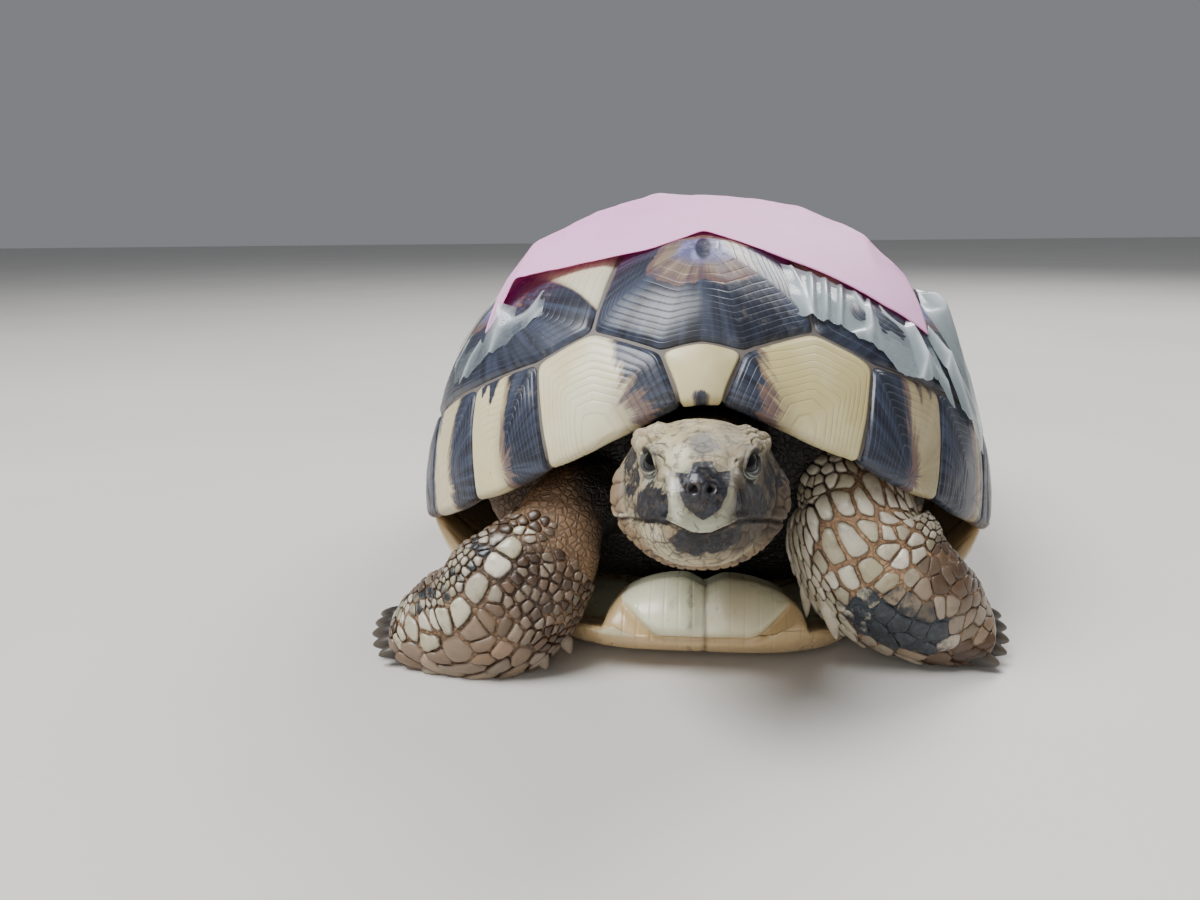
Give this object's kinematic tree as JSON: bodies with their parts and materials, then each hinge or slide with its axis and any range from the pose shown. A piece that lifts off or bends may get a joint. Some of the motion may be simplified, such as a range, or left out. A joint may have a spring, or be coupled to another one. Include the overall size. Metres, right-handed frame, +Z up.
{
  "type": "spur-thighed tortoise",
  "caption": "Life-size still model of a resting spur-thighed tortoise with a folded pink paper cape taped over its shell.",
  "frame": {"origin": "middle of the level part of the plastron, on the floor under the shell", "axes": "+Z up, -Y the way the head faces, +X the tortoise's own left"},
  "size_m": [0.117, 0.1686, 0.0786],
  "materials": {
    "shell_horn": "glossy horn scutes, olive yellow with slate and brown growth rings",
    "belly_horn": "smooth cream horn with a soft gloss",
    "skin": "matt ochre skin set with cream and brown horny scales",
    "eye": "wet, near black",
    "claw": "dark horn, satin",
    "paper": "matt pink paper with folds",
    "tape": "clear glossy film, crumpled"
  },
  "bodies": {
    "root": {"carapace": "shell_horn", "plastron": "belly_horn", "trunk": "skin", "head": "skin", "lower_jaw": "skin", "neck": "skin", "eye_left": "eye", "eye_right": "eye", "tail": "skin", "paper_cape": "paper", "tape_front": "tape", "tape_left": "tape", "tape_right": "tape", "tape_rear": "tape", "foreleg_left_upper": "skin", "foreleg_left_lower": "skin", "foreleg_left_claw_1": "claw", "foreleg_left_claw_2": "claw", "foreleg_left_claw_3": "claw", "foreleg_left_claw_4": "claw", "foreleg_left_claw_5": "claw", "foreleg_right_upper": "skin", "foreleg_right_lower": "skin", "foreleg_right_claw_1": "claw", "foreleg_right_claw_2": "claw", "foreleg_right_claw_3": "claw", "foreleg_right_claw_4": "claw", "foreleg_right_claw_5": "claw", "hindleg_left_upper": "skin", "hindleg_left_lower": "skin", "hindleg_left_claw_1": "claw", "hindleg_left_claw_2": "claw", "hindleg_left_claw_3": "claw", "hindleg_left_claw_4": "claw", "hindleg_right_upper": "skin", "hindleg_right_lower": "skin", "hindleg_right_claw_1": "claw", "hindleg_right_claw_2": "claw", "hindleg_right_claw_3": "claw", "hindleg_right_claw_4": "claw"}
  },
  "joints": []
}
